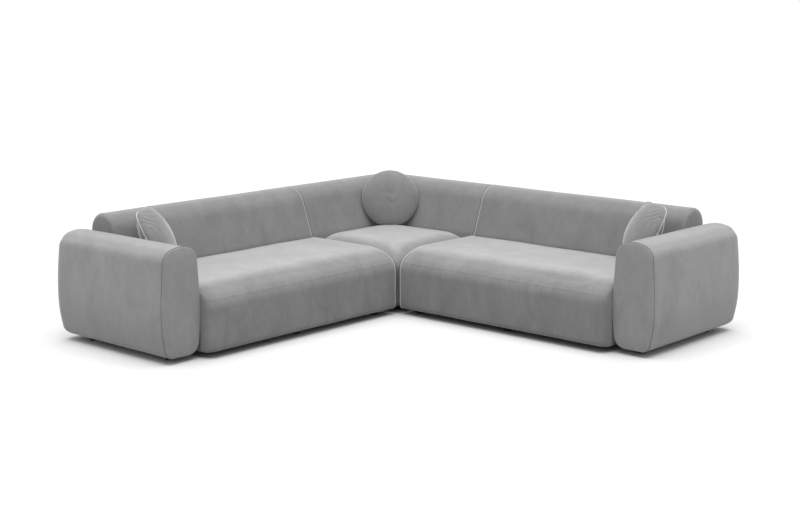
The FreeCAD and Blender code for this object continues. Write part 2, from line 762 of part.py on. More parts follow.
hook_x = "corner_length + steel + tongue_play"
hook_body, hook_pad = bracket("hook", [
    (hook_x, "floor_gap"), (hook_x, "floor_gap - steel - tongue"),
    (hook_x + " + steel", "floor_gap - steel - tongue"), (hook_x + " + steel", "floor_gap - steel"),
    ("wing_start + plate_reach", "floor_gap - steel"),
    ("wing_start + plate_reach", "floor_gap")])
bind(hook_pad, {"Length": "Sizes.hook_width"})
trough_floor = "floor_gap - 2 * steel - tongue"
lip_x = hook_x + " + steel + tongue_play"
catch_body, catch_pad = bracket("catch", [
    ("corner_length - front_foam - plate_reach", "floor_gap"),
    ("corner_length - front_foam - plate_reach", "floor_gap - steel"),
    ("corner_length", "floor_gap - steel"), ("corner_length", trough_floor + " - steel"),
    (lip_x + " + steel", trough_floor + " - steel"), (lip_x + " + steel", trough_floor + " + catch_lip"),
    (lip_x, trough_floor + " + catch_lip"), (lip_x, trough_floor),
    ("corner_length + steel", trough_floor), ("corner_length + steel", "floor_gap")])
bind(catch_pad, {"Length": "Sizes.catch_width"})


def copies(source, name, depths):
    """Copies of a body at several depths."""
    items = []
    for number, depth in enumerate(depths):
        item = doc.addObject("Part::Compound", "%s_%d" % (name, number))
        item.Links = [source]
        bind(item, {"Placement.Base.y": "-(%s)" % sheet_text(depth)})
        items.append(item)
    return items


hook_depths = ["hook_depth", "hook_depth + hook_spacing"]
rail_line = base_low + " + board / 2"
corner_rail_line = corner_high + " - board / 2"
wing_middle = "(%s + %s) / 2" % (base_low, base_high)
wing_feet_places = wing_corner_feet + [
    (wing_middle, base_near + " + " + block_line), (wing_middle, base_far + " - " + block_line),
    ("overall_length - arm_thickness / 2", arm_near + " + " + block_line),
    ("overall_length - arm_thickness / 2", arm_far + " - " + block_line)]
wing_hooks = group("Part::Compound", "wing_hooks", copies(hook_body, "hook", hook_depths))
catches = copies(catch_body, "catch", hook_depths)
corner_catches = group("Part::Compound", "corner_catches", catches + [
    mirror_of(catch, "catch_twin_%d" % number) for number, catch in enumerate(catches)])
wing_feet = group("Part::Compound", "wing_feet", [foot_at(*place) for place in wing_feet_places])
corner_feet = group("Part::Compound", "corner_feet", [foot_at(*place) for place in corner_feet_places])
hook_screws = [screw_at(rail_line, depth + side, "floor_gap - steel")
               for depth in hook_depths for side in (" - hook_width / 4", " + hook_width / 4")]
catch_screws = [screw_at(corner_rail_line, depth + side, "floor_gap - steel")
                for depth in hook_depths for side in (" - hook_width / 4", " + hook_width / 4")]
wing_screws = group("Part::Compound", "wing_screws", hook_screws + [
    screw_at(along, depth, "foot_recess") for along, depth in wing_feet_places])
corner_screws = group("Part::Compound", "corner_screws", catch_screws + [
    mirror_of(screw, "catch_screw_twin_%d" % number) for number, screw in enumerate(catch_screws)] + [
    screw_at(along, depth, "foot_recess") for along, depth in corner_feet_places])
wing_underside = box("wing_underside", (base_low, base_high), (base_near, base_far),
                     ("floor_gap", base_bottom))
corner_underside = box("corner_underside", (corner_low, corner_high), (corner_low, corner_high),
                       ("floor_gap", base_bottom))


# Bolts that hold the arm and the back to the base frame


def bolt(along, depth, height, grip, upright):
    """A hexagon bolt with its nut over a grip length. It runs along the wing or stands upright."""
    shaft = doc.addObject("Part::Cylinder", "bolt_shaft")
    bind(shaft, {"Radius": "Sizes.bolt_radius", "Height": sheet_text("(%s) + bolt_head_height" % grip)})
    head = doc.addObject("Part::Prism", "bolt_head")
    head.Polygon = 6
    bind(head, {"Circumradius": "Sizes.bolt_head", "Height": "Sizes.bolt_head_height",
                "Placement.Base.z": "-Sizes.bolt_head_height"})
    members = [shaft, head]
    if not upright:
        nut = doc.addObject("Part::Prism", "bolt_nut")
        nut.Polygon = 6
        bind(nut, {"Circumradius": "Sizes.bolt_head", "Height": "Sizes.bolt_head_height",
                   "Placement.Base.z": sheet_text(grip)})
        members.append(nut)
    item = group("Part::MultiFuse", "bolt", members)
    axis, degrees = (Vector(1, 0, 0), 180) if upright else (Vector(0, 1, 0), 90)
    item.Placement = FreeCAD.Placement(Vector(0, 0, 0), FreeCAD.Rotation(axis, degrees))
    bind(item, {"Placement.Base.x": sheet_text(along), "Placement.Base.y": "-(%s)" % sheet_text(depth),
                "Placement.Base.z": sheet_text(height)})
    return item


arm_bolts = [bolt(base_high + " - board", depth, "(%s + rail_top) / 2" % base_bottom,
                  "(%s + panel) - (%s - board)" % (arm_low, base_high), False)
             for depth in (base_near + " + 2 * block", "(%s + %s) / 2" % (base_near, base_far),
                           arm_far + " - block")]
back_depth_line = "cover + ease + board / 2"
back_bolts = [bolt(along, back_depth_line, "rail_top + post", "2 * post", True)
              for along in (base_low + " + 2 * block", base_high + " - 2 * block")]
wing_bolts = group("Part::Compound", "wing_bolts", arm_bolts + back_bolts)
leg_bolts = [bolt(along, back_depth_line, "rail_top + post", "2 * post", True)
             for along in (corner_low + " + 3 * block", corner_high + " - 2 * block")]
corner_bolts = group("Part::Compound", "corner_bolts", leg_bolts + [
    mirror_of(item, "bolt_twin_%d" % number) for number, item in enumerate(leg_bolts)])


# Piping in the seams that show: round the inner ends of seat and back, and the arm's front panel


def side_point(depth, height):
    """A point of a wing's inner end, half the piping in from the end's face."""
    return Vector(size("wing_start") + size("piping") / 2, -depth, height)


def seat_piping():
    """Up the front of the seat's inner end, over the roll and back along its top."""
    turn = math.radians(size("nose_turn"))
    start = seat_roll(0)[0][0]
    shoulder = start + size("nose_radius") * math.tan(turn / 2)
    draw = (size("seat_edge") - shoulder) / math.tan(math.pi / 2 - turn)
    front = size("seat_front")
    points = [(front, size("floor_gap") + size("hem_radius")), (front, shoulder),
              (front - draw, size("seat_edge")), (size("back_depth") + 4 * size("piping"), size("seat_edge"))]
    radii = [0, size("nose_radius"), size("roll_radius"), 0]
    return tube(rounded_wire([side_point(*point) for point in points], radii, False), size("piping"))


def back_piping():
    """Up the leaning front of the back's inner end, over its crest and down behind."""
    level = size("seat_edge") + size("seat_crown") + size("piping")
    rear = size("piping") / 2
    slope = (size("back_depth") - size("back_crest")) / (size("back_height") - size("seat_edge"))
    points = [(size("back_depth") - slope * (level - size("seat_edge")), level),
              (size("back_crest"), size("back_height")), (rear, size("back_height")),
              (rear, size("floor_gap") + size("hem_radius"))]
    radii = [0, size("crest_front_radius"), size("crest_rear_radius"), 0]
    return tube(rounded_wire([side_point(*point) for point in points], radii, False), size("piping"))


def arm_piping():
    """Round the arm's front panel."""
    path = arm_outline(size("arm_front"), size("arm_front_inset"), 0)
    return tube(path, size("piping"))


# Loose cushions, each drawn lying flat and then stood up, turned and leant back


def dome(levels, outline):
    """Two crowned halves sewn together at a level seam."""
    upper = [outline(height, share) for height, share in levels]
    lower = [outline(-height, share) for height, share in levels[:0:-1]] + upper[:1]
    return stack([lower, upper], False)


def dome_levels(thickness):
    """Height and share of the outline from the seam to the middle of a face."""
    shares = [(0, 1), (0.30, 0.93), (0.56, 0.80), (0.78, 0.61), (0.93, 0.38), (1, 0.15)]
    return [(thickness / 2 * height, share) for height, share in shares]


def square_cushion(skin):
    """Knife-edged square cushion: pointed corners, sides drawn in between them, faces that crown to round."""
    half = size("cushion_side") / 2 - skin
    thickness = size("cushion_thickness") - 2 * skin

    def outline(height, share):
        flat = min(1, abs(height) / (thickness / 5))
        corner = half * share * (1 - 0.27 * flat)
        middle = half * share - size("cushion_draw") * (1 - flat)
        turns = [(1, 1), (-1, 1), (-1, -1), (1, -1)]
        corners = [Vector(x * corner, y * corner, height) for x, y in turns]
        middles = [Vector(0, middle, height), Vector(-middle, 0, height),
                   Vector(0, -middle, height), Vector(middle, 0, height)]
        return Part.Wire([Part.Arc(corners[i], middles[i], corners[(i + 1) % 4]).toShape() for i in range(4)])

    return dome(dome_levels(thickness), outline)


def round_cushion(skin):
    """Round cushion, flattened where it stands on the seat."""
    radius = size("round_cushion") / 2 - skin
    thickness = size("round_thickness") - 2 * skin
    foot = size("round_flat")

    def outline(height, share):
        def rim(degrees):
            turn = math.radians(degrees)
            return Vector(radius * share * math.cos(turn), radius * share * math.sin(turn), height)

        ends = [-90 + foot, 30, 150, 270 - foot]
        arcs = [Part.Arc(rim(low), rim((low + high) / 2), rim(high)).toShape()
                for low, high in zip(ends, ends[1:])]
        return Part.Wire(arcs + [Part.LineSegment(rim(ends[-1]), rim(ends[0])).toShape()])

    return dome(dome_levels(thickness), outline)


def stood(form, skin, lean, turn, along, depth, rest):
    """A cushion stood on its edge, leant back, turned about the upright and set down on a height."""
    def posed(shape):
        shape.rotate(Vector(0, 0, 0), Vector(1, 0, 0), 90 - lean)
        shape.rotate(Vector(0, 0, 0), Vector(0, 0, 1), turn)
        return shape

    lowest = posed(form(0)).optimalBoundingBox(False).ZMin
    shape = posed(form(skin))
    shape.translate(Vector(along, -depth, rest - lowest))
    return shape


def cushion(name, form, lean, turn, along, depth, rest):
    """The cover and the fill of one cushion."""
    place = (lean, turn, along, depth, rest)
    cloth = size("cushion_cloth")
    cover = hollow(stood(form, 0, *place), stood(form, cloth, *place))
    fill = stood(form, cloth + size("ease") / 4, *place)
    return feature(name + "_cover", cover), feature(name + "_fill", fill)


wing_cushion_cover, wing_cushion_fill = cushion(
    "wing_cushion", square_cushion, size("cushion_lean"), -size("cushion_turn"), size("cushion_along"),
    size("cushion_depth"), size("seat_edge") + size("seat_crown") + size("cushion_rest"))
round_cover, round_fill = cushion(
    "round_cushion", round_cushion, size("round_lean"), 45, size("round_place"), size("round_place"),
    size("seat_edge") + size("corner_crown") + size("cushion_rest"))

# The pieces that are kept, each under its own name

WING_PIECES = [
    (wing_base, "base_frame"), (wing_springs, "seat_springs"), (seat_foam, "seat_foam"),
    (seat_cover, "seat_cover"), (feature("seat_piping", seat_piping()), "seat_piping"),
    (wing_back_frame, "back_frame"), (wing_webbing, "back_webbing"), (back_foam, "back_foam"),
    (back_cover, "back_cover"), (feature("back_piping", back_piping()), "back_piping"),
    (arm_frame, "arm_frame"), (arm_foam, "arm_foam"), (arm_cover, "arm_cover"),
    (feature("arm_piping", arm_piping()), "arm_piping"), (wing_underside, "underside_cloth"),
    (wing_feet, "feet"), (wing_screws, "screws"), (wing_bolts, "frame_bolts"), (wing_hooks, "module_hooks"),
    (wing_cushion_cover, "cushion_cover"), (wing_cushion_fill, "cushion_fill"),
]
CORNER_PIECES = [
    (corner_base, "corner_base_frame"), (corner_springs, "corner_seat_springs"),
    (corner_seat_foam, "corner_seat_foam"), (corner_seat_cover, "corner_seat_cover"),
    (corner_back_frame, "corner_back_frame"), (corner_webbing, "corner_back_webbing"),
    (corner_back_foam, "corner_back_foam"), (corner_back_cover, "corner_back_cover"),
    (corner_underside, "corner_underside_cloth"), (corner_feet, "corner_feet"),
    (corner_screws, "corner_screws"), (corner_bolts, "corner_frame_bolts"),
    (corner_catches, "corner_module_catches"),
    (round_cover, "round_cushion_cover"), (round_fill, "round_cushion_fill"),
]
for piece, word in WING_PIECES:
    mirrored(keep(piece, "right_" + word), "left_" + word)
for piece, word in CORNER_PIECES:
    keep(piece, word)
doc.recompute()

# Nothing is written unless every piece is whole

for item in doc.Objects:
    if "Invalid" in item.State or "Error" in item.State:
        raise RuntimeError("%s could not be made" % item.Label)
for node in nodes:
    if node.Shape.isNull() or not node.Shape.isValid() or not node.Shape.Solids:
        raise RuntimeError("%s has no valid shape" % node.Label)

os.makedirs("parts", exist_ok=True)
for node in nodes:
    node.Shape.exportStep(os.path.join("parts", node.Label + ".step"))
print(len(nodes), "pieces")
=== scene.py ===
import math

import bmesh
import bpy
from mathutils import Matrix, Vector, noise


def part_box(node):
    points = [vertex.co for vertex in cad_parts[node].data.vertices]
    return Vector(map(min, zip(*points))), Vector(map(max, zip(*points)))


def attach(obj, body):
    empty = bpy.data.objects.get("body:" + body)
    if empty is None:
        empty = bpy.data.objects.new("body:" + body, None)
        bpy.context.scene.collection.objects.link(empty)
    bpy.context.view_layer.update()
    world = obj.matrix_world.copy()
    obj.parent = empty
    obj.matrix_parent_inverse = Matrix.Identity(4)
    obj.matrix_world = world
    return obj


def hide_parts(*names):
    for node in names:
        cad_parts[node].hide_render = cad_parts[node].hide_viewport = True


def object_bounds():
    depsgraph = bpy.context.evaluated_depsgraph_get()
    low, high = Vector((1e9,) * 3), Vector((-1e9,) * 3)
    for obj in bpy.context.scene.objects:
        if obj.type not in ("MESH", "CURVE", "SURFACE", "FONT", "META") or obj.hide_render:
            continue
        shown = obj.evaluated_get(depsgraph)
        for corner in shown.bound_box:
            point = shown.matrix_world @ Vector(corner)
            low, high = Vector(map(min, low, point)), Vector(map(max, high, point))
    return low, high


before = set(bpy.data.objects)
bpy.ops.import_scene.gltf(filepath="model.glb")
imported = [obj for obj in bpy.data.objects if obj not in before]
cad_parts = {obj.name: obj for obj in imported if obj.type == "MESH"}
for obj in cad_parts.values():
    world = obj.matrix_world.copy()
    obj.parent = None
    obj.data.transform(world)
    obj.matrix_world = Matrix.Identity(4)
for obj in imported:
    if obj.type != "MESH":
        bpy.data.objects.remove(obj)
cad_low, cad_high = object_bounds()
scene = bpy.context.scene
scene.view_settings.view_transform = "Standard"


# The studio. The sofa stands on seamless white paper under one broad overhead softbox, and is
# seen from a little above its backs, turned about 42 degrees from the left wing's front.

azimuth = math.radians(41.70)
pitch = math.radians(10.77)
gaze = Vector((-math.sin(azimuth) * math.cos(pitch), math.cos(azimuth) * math.cos(pitch), -math.sin(pitch)))
camera = bpy.data.objects.new("camera", bpy.data.cameras.new("camera"))
camera.data.lens = 66.0
camera.data.clip_end = 200
camera.location = (5.7275, -6.4535, 2.100)
camera.rotation_mode = "QUATERNION"
camera.rotation_quaternion = gaze.to_track_quat("-Z", "Y")
scene.collection.objects.link(camera)
scene.camera = camera

softbox = bpy.data.lights.new("overhead_softbox", "SUN")
softbox.energy = 2.1
softbox.angle = math.radians(60)
lamp = bpy.data.objects.new("overhead_softbox", softbox)
lamp.rotation_mode = "QUATERNION"
lamp.rotation_quaternion = Vector((-0.08, 0.08, -1)).to_track_quat("-Z", "Y")
scene.collection.objects.link(lamp)


def node(tree, kind, settings=None, **inputs):
    """A shader node with its settings and the values of its inputs."""
    made = tree.nodes.new(kind)
    for name, value in (settings or {}).items():
        setattr(made, name, value)
    for name, value in inputs.items():
        made.inputs[name.replace("_", " ")].default_value = value
    return made


world = bpy.data.worlds.new("studio")
world.use_nodes = True
scene.world = world
tree = world.node_tree
tree.nodes.clear()
ray = node(tree, "ShaderNodeLightPath")
seen = node(tree, "ShaderNodeMath", {"operation": "MAXIMUM"})
seen_too = node(tree, "ShaderNodeMath", {"operation": "MAXIMUM"})
tree.links.new(ray.outputs["Is Camera Ray"], seen.inputs[0])
tree.links.new(ray.outputs["Is Glossy Ray"], seen.inputs[1])
tree.links.new(seen.outputs[0], seen_too.inputs[0])
tree.links.new(ray.outputs["Is Transmission Ray"], seen_too.inputs[1])
walls = node(tree, "ShaderNodeTexCoord")
upward = node(tree, "ShaderNodeSeparateXYZ")
dimmed = node(tree, "ShaderNodeMapRange", From_Min=-0.05, From_Max=0.75, To_Min=0.30, To_Max=0.75)
ambient = node(tree, "ShaderNodeBackground", Color=(1, 1, 1, 1))
tree.links.new(walls.outputs["Generated"], upward.inputs[0])
tree.links.new(upward.outputs["Z"], dimmed.inputs["Value"])
tree.links.new(dimmed.outputs[0], ambient.inputs["Strength"])
white = node(tree, "ShaderNodeBackground", Color=(1, 1, 1, 1), Strength=1.0)
either = node(tree, "ShaderNodeMixShader")
sky = node(tree, "ShaderNodeOutputWorld")
tree.links.new(seen_too.outputs[0], either.inputs[0])
tree.links.new(ambient.outputs[0], either.inputs[1])
tree.links.new(white.outputs[0], either.inputs[2])
tree.links.new(either.outputs[0], sky.inputs["Surface"])

floor_reach = 40.0
bm = bmesh.new()
bmesh.ops.create_grid(bm, x_segments=1, y_segments=1, size=floor_reach)
floor_mesh = bpy.data.meshes.new("floor")
bm.to_mesh(floor_mesh)
bm.free()
floor = bpy.data.objects.new("floor", floor_mesh)
scene.collection.objects.link(floor)
paper = bpy.data.materials.new("white_paper")
paper.use_nodes = True
tree = paper.node_tree
tree.nodes.clear()
ray = node(tree, "ShaderNodeLightPath")
shade = node(tree, "ShaderNodeMix", {"data_type": "RGBA"})
shade.inputs["A"].default_value = (0.42, 0.42, 0.42, 1)
shade.inputs["B"].default_value = (0.84, 0.84, 0.84, 1)
matt = node(tree, "ShaderNodeBsdfDiffuse")
surface = node(tree, "ShaderNodeOutputMaterial")
tree.links.new(ray.outputs["Is Camera Ray"], shade.inputs["Factor"])
tree.links.new(shade.outputs["Result"], matt.inputs["Color"])
tree.links.new(matt.outputs[0], surface.inputs["Surface"])
floor.data.materials.append(paper)


# Velvet. A short dense pile over a plain backing, with soft patches where a hand has brushed the pile one
# way or the
# other. Level faces carry a painted sheen: their colour is multiplied up, standing in for the light on the
# tops.

def velvet(name, tone, patch, painted_sheen_gain=1.0):
    """Grey velvet: its tone, how far brushed patches differ from it, and the gain of the painted sheen on
    its level faces.
    """
    material = bpy.data.materials.new(name)
    material.use_nodes = True
    tree = material.node_tree
    skin = tree.nodes["Principled BSDF"]
    place = node(tree, "ShaderNodeTexCoord")
    stretch = node(tree, "ShaderNodeMapping", Scale=(1.0, 1.0, 0.55))
    brushed = node(tree, "ShaderNodeTexNoise", Scale=7.0, Detail=5.0, Roughness=0.62, Distortion=0.8)
    ruffled = node(tree, "ShaderNodeTexNoise", Scale=34.0, Detail=4.0, Roughness=0.6, Distortion=0.5)
    pile = node(tree, "ShaderNodeTexNoise", Scale=1100.0, Detail=2.0, Roughness=0.6)
    both = node(tree, "ShaderNodeMix", {"data_type": "FLOAT"})
    both.inputs["Factor"].default_value = 0.30
    tones = node(tree, "ShaderNodeValToRGB")
    low, high = tones.color_ramp.elements
    for end, position, share, cooler in ((low, 0.30, 1 - patch, 1.01), (high, 0.72, 1 + patch, 1.005)):
        end.position = position
        end.color = (tone * share, tone * share, tone * share * cooler, 1)
    lay = node(tree, "ShaderNodeBump", Strength=0.35, Distance=0.006)
    fuzz = node(tree, "ShaderNodeBump", Strength=0.30, Distance=0.0006)
    tree.links.new(place.outputs["Object"], stretch.inputs["Vector"])
    for texture in (brushed, ruffled):
        tree.links.new(stretch.outputs[0], texture.inputs["Vector"])
    tree.links.new(place.outputs["Object"], pile.inputs["Vector"])
    tree.links.new(brushed.outputs["Fac"], both.inputs["A"])
    tree.links.new(ruffled.outputs["Fac"], both.inputs["B"])
    tree.links.new(both.outputs["Result"], tones.inputs["Fac"])
    # Painted sheen: where a face points up, its colour is multiplied by the gain, so tops look more brightly
    # lit than sides.
    facing = node(tree, "ShaderNodeNewGeometry")
    split = node(tree, "ShaderNodeSeparateXYZ")
    level = node(tree, "ShaderNodeMapRange", {"interpolation_type": "SMOOTHSTEP"},
                 From_Min=0.91, From_Max=1.0, To_Min=0.0, To_Max=1.0)
    painted_top_sheen = node(tree, "ShaderNodeMix",
                     {"data_type": "RGBA", "blend_type": "MULTIPLY", "clamp_factor": True})
    painted_top_sheen.inputs["B"].default_value = (painted_sheen_gain, painted_sheen_gain, painted_sheen_gain, 1)
    tree.links.new(facing.outputs["Normal"], split.inputs[0])
    tree.links.new(split.outputs["Z"], level.inputs["Value"])
    tree.links.new(level.outputs[0], painted_top_sheen.inputs["Factor"])
    tree.links.new(tones.outputs["Color"], painted_top_sheen.inputs["A"])
    tree.links.new(painted_top_sheen.outputs["Result"], skin.inputs["Base Color"])
    tree.links.new(both.outputs["Result"], lay.inputs["Height"])
    tree.links.new(pile.outputs["Fac"], fuzz.inputs["Height"])
    tree.links.new(lay.outputs[0], fuzz.inputs["Normal"])
    tree.links.new(fuzz.outputs[0], skin.inputs["Normal"])
    skin.inputs["Roughness"].default_value = 0.7
    skin.inputs["Specular IOR Level"].default_value = 0.35
    skin.inputs["Sheen Weight"].default_value = 1.0
    skin.inputs["Sheen Roughness"].default_value = 0.36
    skin.inputs["Sheen Tint"].default_value = (0.98, 0.98, 1.0, 1)
    return material


# Wing seats. Each is a deep foam block in a fitted velvet cover: an upright front that rolls
# over into a crowned top, a seam across the front and one down beside the arm's corner.
# Lengths run along a wing from the sofa's outer back corner, and depths from its back plane.

# The seats' level tops get 1.7 times the colour as painted sheen.
seat_velvet = velvet("sofa_velvet", 0.258, 0.17, 1.70)
to_right = Matrix(((1, 0, 0, cad_low.x), (0, -1, 0, cad_high.y), (0, 0, 1, 0), (0, 0, 0, 1)))
to_left = Matrix(((0, 1, 0, cad_low.x), (-1, 0, 0, cad_high.y), (0, 0, 1, 0), (0, 0, 0, 1)))
hem_radius = 0.035
clear_of_cloth = 0.0012
sewn_edge = 0.007
on_row = 0.0004


def wing_box(name):
    """Reach of a right-wing node along its wing and in depth, and the height that it starts at."""
    low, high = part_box(name)
    return low.x - cad_low.x, high.x - cad_low.x, cad_high.y - high.y, cad_high.y - low.y, low.z


def run_on(bm, vertex, depth, height, steps):
    """Draw a straight stretch of a section from a vertex to a point."""
    stride = (Vector((vertex.co.x, depth, height)) - vertex.co) / steps
    for _ in range(steps):
        vertex = bmesh.ops.extrude_vert_indiv(bm, verts=[vertex])["verts"][0]
        vertex.co += stride
    return vertex


def turn_on(bm, vertex, depth, height, degrees, steps):
    """Draw an arc of a section round a centre."""
    spun = bmesh.ops.spin(bm, geom=[vertex], cent=(vertex.co.x, depth, height), axis=(1, 0, 0),
                          angle=math.radians(degrees), steps=steps, use_duplicate=False)
    return [item for item in spun["geom_last"] if isinstance(item, bmesh.types.BMVert)][0]


def next_ring(bm, ring):
    """Extrude a ring of edges where it lies, and give its new vertices and edges."""
    made = bmesh.ops.extrude_edge_only(bm, edges=ring)["geom"]
    fresh = {item for item in made if isinstance(item, bmesh.types.BMVert)}
    edges = [item for item in made if isinstance(item, bmesh.types.BMEdge) and set(item.verts) <= fresh]
    return list(fresh), edges


def draw_out(bm, ring, lengths, way=(1, 0, 0)):
    """Carry a ring of edges along, one stretch after another."""
    for length in lengths:
        verts, ring = next_ring(bm, ring)
        bmesh.ops.translate(bm, verts=verts, vec=Vector(way) * length)
    return ring


def close_end(bm, ring, outward, levels):
    """Close a ring with rings that draw in towards its middle. A level is how far in, and how far out."""
    verts = {vertex for edge in ring for vertex in edge.verts}
    spans = [[vertex.co[axis] for vertex in verts] for axis in range(3)]
    centre = Vector([(min(span) + max(span)) / 2 for span in spans])
    reaches = [(max(span) - min(span)) / 2 for span in spans]
    flat = max(range(3), key=lambda axis: abs(outward[axis]))
    least = 0.02
    last_in = last_out = 0
    for inward, out in levels:
        verts, ring = next_ring(bm, ring)
        factors = [max(least, reach - inward) / max(least, reach - last_in) for reach in reaches]
        factors[flat] = 1
        bmesh.ops.scale(bm, verts=verts, vec=factors, space=Matrix.Translation(-centre))
        bmesh.ops.translate(bm, verts=verts, vec=Vector(outward) * (out - last_out))
        last_in, last_out = inward, out
    bmesh.ops.edgeloop_fill(bm, edges=ring)


def quarter(inward, outward, steps):
    """Levels of a rounded edge, for close_end."""
    turns = [math.pi / 2 * (step + 1) / steps for step in range(steps)]
    return [(inward * (1 - math.cos(turn)), outward * math.sin(turn)) for turn in turns]


def held(share):
    """A share held between 0 and 1."""
    return min(1, max(0, share))


def rise(distance, run):
    """A smooth rise from 0 at an edge to 1 at some distance from it."""
    return math.sin(held(distance / run) * math.pi / 2) ** 1.2


def soften(bm, size, reach):
    """Move a surface in and out a little, as wadding under cloth does."""
    bm.normal_update()
    for vertex in bm.verts:
        vertex.co += vertex.normal * (reach * noise.noise(vertex.co / size))


def crease(bm, chosen, deep):
    """Pull a line of vertices in, as a seam does."""
    bm.normal_update()
    for vertex in bm.verts:
        if chosen(vertex.co):
            vertex.co -= vertex.normal * deep


def make_piece(bm, name, place, material, body, nodes, trim=None):
    """Make a bmesh the padded piece that stands for some CAD nodes on a body."""
    made = bm.copy()
    bmesh.ops.transform(made, matrix=place, verts=made.verts[:])
    bmesh.ops.recalc_face_normals(made, faces=made.faces[:])
    mesh = bpy.data.meshes.new(name)
    made.to_mesh(mesh)
    made.free()
    mesh.polygons.foreach_set("use_smooth", [True] * len(mesh.polygons))
    mesh.materials.append(material)
    if trim:
        mesh.materials.append(trim)
    piece = bpy.data.objects.new(name, mesh)
    scene.collection.objects.link(piece)
    smooth = piece.modifiers.new("smooth", "SUBSURF")
    smooth.levels = 1
    smooth.render_levels = 1
    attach(piece, body)
    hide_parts(*nodes)


def both_wings(bm, word, material, nodes):
    """The same foam-filled piece on the right wing and, mirrored, on the left one."""
    for side, place in (("right", to_right), ("left", to_left)):
        make_piece(bm, side + "_" + word, place, material, side + "_module",
                   [side + "_" + name for name in nodes])


seat_edge = 0.418
nose_radius = 0.106
roll_radius = 0.389
nose_turn = 62.5
seam_turn = 34.5
seam_half = 1.3


def seat_section(bm, start, rear, front, bottom):
    """The closed side outline of a seat, from its rear bottom edge forward, up and back."""
    first = bm.verts.new((start, rear + sewn_edge, bottom))
    vertex = run_on(bm, first, front - hem_radius, bottom, 10)
    vertex = turn_on(bm, vertex, front - hem_radius, bottom + hem_radius, 90, 6)
    slope = math.radians(nose_turn)
    nose_height = seat_edge - roll_radius * (1 - math.sin(slope)) - nose_radius * math.sin(slope)
    vertex = run_on(bm, vertex, front, nose_height, 8)
    nose = (front - nose_radius, nose_height)
    vertex = turn_on(bm, vertex, *nose, seam_turn - seam_half, 5)
    vertex = turn_on(bm, vertex, *nose, 2 * seam_half, 2)
    vertex = turn_on(bm, vertex, *nose, nose_turn - seam_turn - seam_half, 5)
    roll_depth = nose[0] + (nose_radius - roll_radius) * math.cos(slope)
    vertex = turn_on(bm, vertex, roll_depth, seat_edge - roll_radius, 90 - nose_turn, 8)
    vertex = run_on(bm, vertex, rear + sewn_edge, seat_edge, 18)
    vertex = turn_on(bm, vertex, rear + sewn_edge, seat_edge - sewn_edge, 90, 3)
    vertex = run_on(bm, vertex, rear, bottom + sewn_edge, 8)
    last = turn_on(bm, vertex, rear + sewn_edge, bottom + sewn_edge, 90, 3)
    bmesh.ops.remove_doubles(bm, verts=[first, last], dist=0.0005)
    return bm.edges[:]


near_end, far_end, seat_rear, seat_front, seat_bottom = wing_box("right_seat_cover")
far_end += 0.002
seat_bottom += clear_of_cloth
side_seam = 2.585
stitch = 0.0025
plain_rows = 56
plain_row = (side_seam - near_end - sewn_edge - stitch) / plain_rows
corner_rows = 8
corner_row = (far_end - side_seam - stitch) / (corner_rows + 1)
near_cap = quarter(sewn_edge, sewn_edge, 3) + [(0.03, 0.010), (0.09, 0.013), (0.17, 0.014)]
far_cap = quarter(corner_row, corner_row, 2) + [(0.05, corner_row), (0.15, corner_row)]
bm = bmesh.new()
near_ring = seat_section(bm, near_end + sewn_edge, seat_rear, seat_front, seat_bottom)
far_ring = draw_out(bm, near_ring, [plain_row] * plain_rows + [stitch] * 2 + [corner_row] * corner_rows)
close_end(bm, near_ring, (-1, 0, 0), near_cap)
close_end(bm, far_ring, (1, 0, 0), far_cap)

nose_slope = math.radians(nose_turn)
seam_slope = math.radians(seam_turn)
seam_height = seat_edge - roll_radius * (1 - math.sin(nose_slope))
seam_height += nose_radius * (math.sin(seam_slope) - math.sin(nose_slope))
seam_foot = seat_bottom + 0.02
seat_seam = 0.0018
on_seam = 0.0008
clear_of_ends = 0.004


def in_front(co):
    """Whether a point is on a wing seat's front, away from its ends."""
    return co.y > seat_front - nose_radius and near_end + clear_of_ends < co.x < far_end - clear_of_ends


crease(bm, lambda co: in_front(co) and abs(co.z - seam_height) < on_seam, seat_seam)
crease(bm, lambda co: in_front(co) and abs(co.x - side_seam) < on_row and seam_foot < co.z < seam_height,
       seat_seam)

seat_corner = 0.050
corner_fade_from = 0.42
corner_fade = 0.40
seat_crown = 0.015
crown_band = 0.09
crown_end_run = 0.26
crown_rear_run = 0.12
crown_front_run = 0.42
belly = 0.004
belly_band = 0.08
belly_height = 0.30
belly_near_run = 0.30
belly_far_run = 0.20


def crowned(height):
    """How much of a seat's crown a height takes: all of it at the seat's edge, none below the band."""
    return held((height - seat_edge + crown_band) / crown_band)


for vertex in bm.verts:
    along, depth, height = vertex.co
    past_turn = held((along - far_end + seat_corner) / seat_corner)
    drawn_back = seat_corner * (1 - math.sqrt(1 - past_turn * past_turn))
    vertex.co.y -= drawn_back * held((depth - seat_front + corner_fade_from) / corner_fade)
    if height > seat_edge - crown_band:
        inside = rise(along - near_end, crown_end_run) * rise(far_end - along, crown_end_run)
        swell = rise(depth - seat_rear, crown_rear_run) * rise(seat_front - depth, crown_front_run)
        vertex.co.z += seat_crown * inside * swell * crowned(height)
    elif depth > seat_front - belly_band:
        full = rise(along - near_end, belly_near_run) * rise(far_end - along, belly_far_run)
        vertex.co.y += belly * full * math.sin(math.pi * held((height - seat_bottom) / belly_height))
soften(bm, size=0.26, reach=0.0022)
both_wings(bm, "seat", seat_velvet, ["seat_cover", "seat_foam"])
bm.free()


# Wing backs. Foam over an upright timber ladder, in a fitted velvet cover: a leaning front that
# rolls over a broad crest, a plain rear, a welted edge at the end that meets the corner, and a
# rounded end with a seam behind the arm.

# The backs' level faces get 1.2 times the colour as painted sheen.
back_velvet = velvet("back_velvet", 0.244, 0.15, 1.20)
lean = math.radians(19.5)
crest_radius = 0.139
back_rear_radius = 0.1037
rear_hem = 0.007


